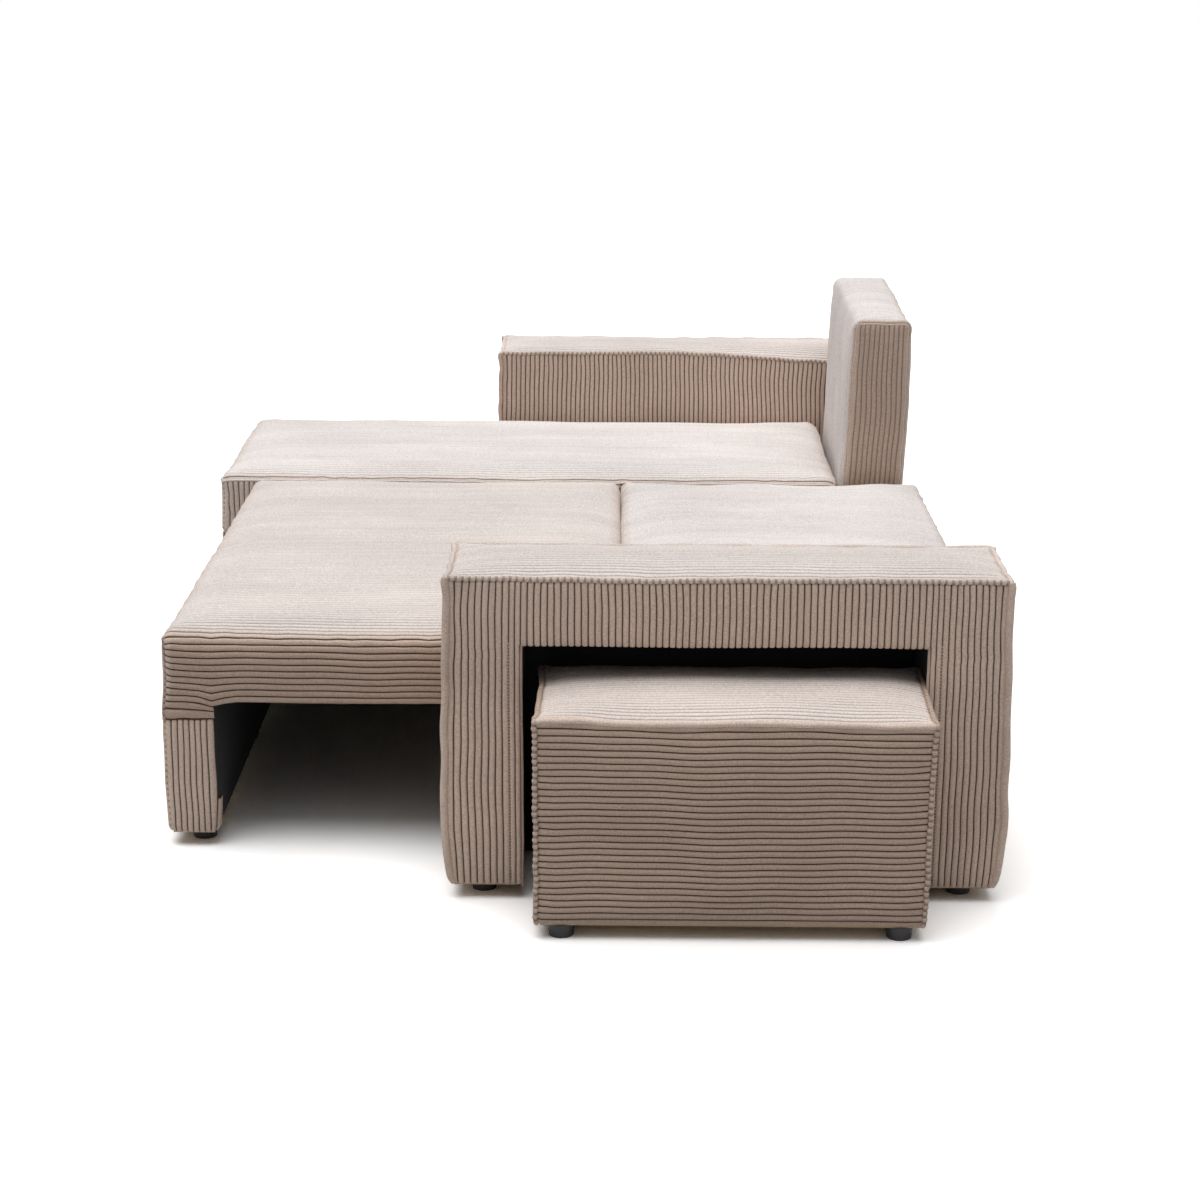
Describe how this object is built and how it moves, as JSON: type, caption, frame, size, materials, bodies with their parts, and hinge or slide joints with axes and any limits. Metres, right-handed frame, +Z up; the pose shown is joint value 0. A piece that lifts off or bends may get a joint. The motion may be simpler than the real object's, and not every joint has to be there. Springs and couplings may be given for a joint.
{
  "type": "corner sofa bed",
  "caption": "Corner sofa bed in wide-rib cord, made up as a bed: pull-out seat with a back panel that lies flat, chaise with a storage box, arch armrest with a pouf kept in its niche.",
  "frame": {"origin": "on the floor, below the middle of the whole object at rest, with the bed made up and the pouf partly drawn out", "axes": "+X along the sofa towards the arch armrest, +Y from the front to the rear, +Z up"},
  "size_m": [2.665, 1.635, 0.8],
  "materials": {
    "corduroy_top": "brushed wide-rib corduroy, ribs along the depth",
    "corduroy_side": "wide-rib corduroy, rib pitch about 12 mm",
    "black_lining": "black non-woven lining cloth",
    "wood": "raw plywood, pine rails and birch slats",
    "steel": "zinc-plated steel",
    "black_paint": "black powder coat",
    "black_plastic": "moulded matt black plastic"
  },
  "bodies": {
    "root": {"chaise_side_near": "wood", "chaise_side_far": "wood", "chaise_front_board": "wood", "chaise_rear_board": "wood", "chaise_cross_rail": "wood", "chaise_bottom": "wood", "chaise_cover": "corduroy_side", "backrest_frame": "wood", "backrest_board": "wood", "backrest_cushion": "corduroy_top", "lid_hinge_straps": "steel", "lid_hinge_pins": "steel", "strut_studs": "steel", "base_bottom": "wood", "base_side_beams": "wood", "base_front_wall": "wood", "base_rear_board": "wood", "base_rear_cover": "corduroy_side", "roller_rails": "steel", "arm_near_panel": "wood", "arm_near_legs": "wood", "arm_near_beam": "wood", "arm_near_cover": "corduroy_side", "arm_near_top_pad": "corduroy_top", "niche_lining": "black_lining", "arm_far_panel": "wood", "arm_far_frame": "wood", "arm_far_cover": "corduroy_side", "arm_far_top_pad": "corduroy_top", "sofa_feet": "black_plastic", "module_bolts": "steel", "module_nuts": "steel"},
    "seat": {"seat_side_rails": "wood", "seat_cross_rails": "wood", "seat_slats": "wood", "seat_cushion": "corduroy_top", "seat_lining": "black_lining", "front_board_frame": "wood", "front_board_cover": "corduroy_side", "front_feet": "black_plastic", "guide_plates": "steel", "guide_bolts": "steel", "roller_axles": "steel"},
    "rear_rollers": {"rear_rollers": "black_plastic"},
    "slide_blocks": {"slide_blocks": "black_plastic"},
    "back_panel": {"panel_rails": "wood", "panel_slats": "wood", "panel_cushion": "corduroy_top", "panel_lining": "black_lining", "pivot_plates": "steel"},
    "chaise_lid": {"lid_board": "wood", "lid_cushion": "corduroy_top", "lid_hinge_leaves": "steel", "strut_brackets": "steel"},
    "strut_tubes": {"strut_tubes": "black_paint"},
    "strut_rods": {"strut_rods": "steel"},
    "pouf": {"pouf_boards": "wood", "pouf_cover": "corduroy_side", "pouf_cushion": "corduroy_top", "pouf_feet": "black_plastic"}
  },
  "joints": [
    {"name": "seat_slide", "type": "slide", "parent": "root", "child": "seat", "axis": [0, 1, 0], "range_m": [0, 0.514]},
    {"name": "roller_spin", "type": "hinge", "parent": "seat", "child": "rear_rollers", "pos_m": [0.2475, 0.0115, 0.0933], "axis": [1, 0, 0], "range_deg": [-1180, 0]},
    {"name": "block_slide", "type": "slide", "parent": "seat", "child": "slide_blocks", "axis": [0, 0, -1], "range_m": [0, 0.244]},
    {"name": "panel_hinge", "type": "hinge", "parent": "slide_blocks", "child": "back_panel", "pos_m": [0.2475, 0.1585, 0.385], "axis": [1, 0, 0], "range_deg": [0, 90]},
    {"name": "lid_hinge", "type": "hinge", "parent": "root", "child": "chaise_lid", "pos_m": [-0.7525, 0.6285, 0.375], "axis": [-1, 0, 0], "range_deg": [0, 40]},
    {"name": "strut_foot", "type": "hinge", "parent": "root", "child": "strut_tubes", "pos_m": [-0.7525, 0.5925, 0.11], "axis": [-1, 0, 0], "range_deg": [0, 21.22]},
    {"name": "strut_extend", "type": "slide", "parent": "strut_tubes", "child": "strut_rods", "axis": [0, -0.8115, 0.5843], "range_m": [0, 0.145]},
    {"name": "pouf_slide", "type": "slide", "parent": "root", "child": "pouf", "axis": [1, 0, 0], "range_m": [-0.076, 0.4]}
  ],
  "couplings": [
    {"joint": "roller_spin", "follows": "seat_slide", "rad_per_m": -40},
    {"joint": "block_slide", "follows": "seat_slide", "ratio": 0.47471},
    {"joint": "panel_hinge", "follows": "seat_slide", "rad_per_m": 3.056},
    {"joint": "strut_foot", "follows": "lid_hinge", "ratio": 0.53018},
    {"joint": "strut_extend", "follows": "lid_hinge", "m_per_rad": 0.20751}
  ]
}
